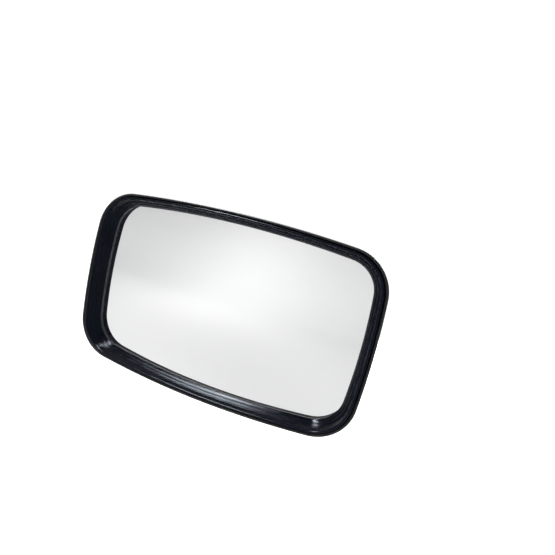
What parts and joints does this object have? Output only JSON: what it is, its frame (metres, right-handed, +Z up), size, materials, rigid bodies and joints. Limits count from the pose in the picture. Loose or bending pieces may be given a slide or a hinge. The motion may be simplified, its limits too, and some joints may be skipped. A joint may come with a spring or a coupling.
{
  "type": "convex vehicle mirror head",
  "caption": "Bowed rectangular convex mirror in a black moulded housing with a rubber gasket, and a round swivelling clamp in its back that grips a round arm tube.",
  "frame": {"origin": "centre of the tube clamp, where the arm tube's axis crosses the swivel axis", "axes": "+X along the head's long side, away from the arm; +Y from the glass towards the back, along the swivel axis; +Z up"},
  "size_m": [0.34, 0.0745, 0.209],
  "materials": {
    "housing_plastic": "fine grained black moulding, soft sheen",
    "gasket_rubber": "smooth extruded rubber with a soft gloss",
    "mirror": "silvered convex glass",
    "safety_film": "dull backing film",
    "grommet_rubber": "matt rubber edging",
    "disc_plastic": "smooth black moulding",
    "friction_plastic": "natural bearing plastic",
    "spring_steel": "hardened strip",
    "plate_steel": "zinc plated sheet",
    "zinc_steel": "zinc plated",
    "screw_steel": "bright zinc plated",
    "washer_steel": "dull zinc plated",
    "jaw_aluminium": "die cast",
    "liner_rubber": "matt rubber"
  },
  "bodies": {
    "clamp": {"clamp_disc": "disc_plastic", "friction_ring": "friction_plastic", "wave_spring": "spring_steel", "retaining_plate": "plate_steel", "plate_screw_1": "zinc_steel", "plate_screw_2": "zinc_steel", "plate_screw_3": "zinc_steel", "plate_screw_4": "zinc_steel", "outer_jaw": "jaw_aluminium", "outer_liner": "liner_rubber", "washer_upper": "washer_steel", "washer_lower": "washer_steel"},
    "mirror_head": {"housing": "housing_plastic", "glass_gasket": "gasket_rubber", "mirror_glass": "mirror", "safety_film": "safety_film", "slot_grommet": "grommet_rubber"},
    "upper_screw": {"clamp_screw_upper": "screw_steel"},
    "lower_screw": {"clamp_screw_lower": "screw_steel"},
    "jaw": {"inner_jaw": "jaw_aluminium", "inner_liner": "liner_rubber", "nut_upper": "zinc_steel", "nut_lower": "zinc_steel"}
  },
  "joints": [
    {"name": "swivel", "type": "hinge", "parent": "clamp", "child": "mirror_head", "pos_m": [0, 0, 0], "axis": [0, 1, 0], "range_deg": [-14.5, 1.5]},
    {"name": "jaw_slide", "type": "slide", "parent": "clamp", "child": "jaw", "axis": [0, -1, 0], "range_m": [0, 0.00375]},
    {"name": "upper_screw_turn", "type": "hinge", "parent": "clamp", "child": "upper_screw", "pos_m": [-0.00266, 0, 0.02335], "axis": [0, 1, 0], "range_deg": [0, 1081]},
    {"name": "lower_screw_turn", "type": "hinge", "parent": "clamp", "child": "lower_screw", "pos_m": [0.00266, 0, -0.02335], "axis": [0, 1, 0], "range_deg": [0, 1081]}
  ],
  "couplings": [
    {"joint": "upper_screw_turn", "follows": "jaw_slide", "rad_per_m": 5026.5},
    {"joint": "lower_screw_turn", "follows": "jaw_slide", "rad_per_m": 5026.5}
  ]
}
